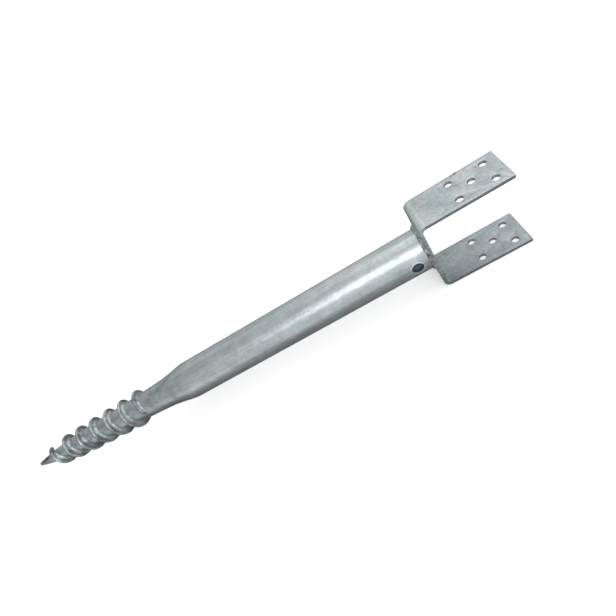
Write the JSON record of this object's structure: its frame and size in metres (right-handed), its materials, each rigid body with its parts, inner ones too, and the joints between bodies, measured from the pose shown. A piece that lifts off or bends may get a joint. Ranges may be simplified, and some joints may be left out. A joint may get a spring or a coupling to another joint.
{
  "type": "foundation ground screw",
  "caption": "Galvanised steel ground screw: a tapered pipe with a coarse helical flight at the point and a welded U bracket that holds a post or solar frame leg.",
  "frame": {"origin": "on the shaft axis, in the inner face of the bracket's base plate, where the post end sits", "axes": "+X along the shaft towards the open end of the bracket, Z square to the bracket's two ears, Y along the bracket's depth and the driving-bar hole"},
  "size_m": [0.998, 0.07, 0.131],
  "materials": {
    "shaft_tube": "hot-dip galvanised, soft sheen",
    "thread_flight": "hot-dip galvanised, thick uneven zinc",
    "u_bracket": "hot-dip galvanised, mottled",
    "bracket_weld": "galvanised weld bead"
  },
  "bodies": {
    "root": {"shaft_tube": "shaft_tube", "thread_flight": "thread_flight", "u_bracket": "u_bracket", "bracket_weld": "bracket_weld"}
  },
  "joints": []
}
